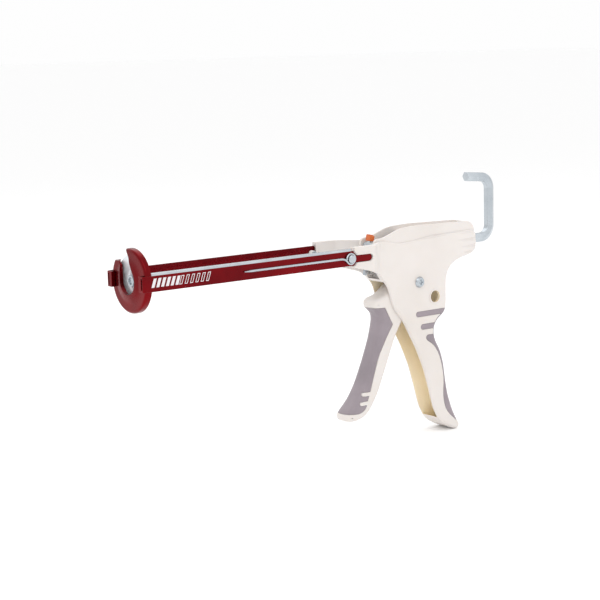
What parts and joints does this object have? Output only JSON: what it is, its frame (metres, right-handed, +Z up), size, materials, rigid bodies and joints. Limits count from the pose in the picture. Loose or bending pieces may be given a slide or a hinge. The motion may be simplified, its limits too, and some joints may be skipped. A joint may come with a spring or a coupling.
{
  "type": "caulking gun",
  "caption": "Hand caulking gun: open cradle of two rails and a front dish with a swinging seal needle, hexagonal push rod with a hook, sprung trigger and thumb release.",
  "frame": {"origin": "centre of the overall length and width, at the level of the handle's lowest point", "axes": "+X along the push rod, from the front dish towards the hook; +Z up; the gun's trigger and handle point down"},
  "size_m": [0.443, 0.0706, 0.2596],
  "materials": {
    "ivory_plastic": "satin moulded plastic, warm off-white",
    "grip_rubber": "soft-touch grey grip",
    "red_paint": "glossy dark red powder coat on sheet steel",
    "zinc_steel": "bright zinc plating",
    "spring_steel": "drawn spring wire",
    "white_nylon": "natural nylon",
    "orange_plastic": "moulded orange plastic"
  },
  "bodies": {
    "frame": {"body": "ivory_plastic", "handle_grip": "grip_rubber", "front_dish": "red_paint", "rail_near": "red_paint", "rail_far": "red_paint", "stop_rivet_near": "zinc_steel", "stop_rivet_far": "zinc_steel", "stop_sleeve_near": "white_nylon", "stop_sleeve_far": "white_nylon", "stop_washer": "zinc_steel", "pivot_bolt": "zinc_steel", "pivot_nut": "zinc_steel", "front_guide": "white_nylon", "rear_guide": "white_nylon", "brake_pin": "zinc_steel", "drive_spring": "spring_steel", "brake_spring": "spring_steel"},
    "lever": {"trigger": "ivory_plastic", "trigger_grip": "grip_rubber", "pivot_bush": "zinc_steel", "push_pin": "zinc_steel"},
    "driver": {"drive_plate": "zinc_steel"},
    "rod": {"push_rod": "zinc_steel", "plunger_cup": "zinc_steel", "plunger_washer": "zinc_steel", "plunger_nut": "zinc_steel"},
    "release": {"brake_plate": "zinc_steel", "release_cap": "orange_plastic"},
    "needle": {"seal_needle": "zinc_steel"}
  },
  "joints": [
    {"name": "trigger_pull", "type": "hinge", "parent": "frame", "child": "lever", "pos_m": [0.1085, 0, 0.1565], "axis": [0, -1, 0], "range_deg": [0, 26], "stiffness_Nm_per_rad": 1, "springref_deg": -20.05},
    {"name": "driver_slide", "type": "slide", "parent": "frame", "child": "driver", "axis": [-1, 0, 0], "range_m": [0, 0.0108], "deforming": ["drive_spring"]},
    {"name": "rod_feed", "type": "slide", "parent": "frame", "child": "rod", "axis": [1, 0, 0], "range_m": [0, 0.225]},
    {"name": "release_press", "type": "hinge", "parent": "frame", "child": "release", "pos_m": [0.0521, 0, 0.18], "axis": [0, -1, 0], "range_deg": [0, 10], "stiffness_Nm_per_rad": 0.2, "springref_deg": -9.74, "deforming": ["brake_spring"]},
    {"name": "needle_swing", "type": "hinge", "parent": "frame", "child": "needle", "pos_m": [0.0065, -0.0324, 0.1915], "axis": [0, -1, 0], "range_deg": [0, 90]}
  ],
  "couplings": [
    {"joint": "driver_slide", "follows": "trigger_pull", "m_per_rad": 0.0238}
  ]
}
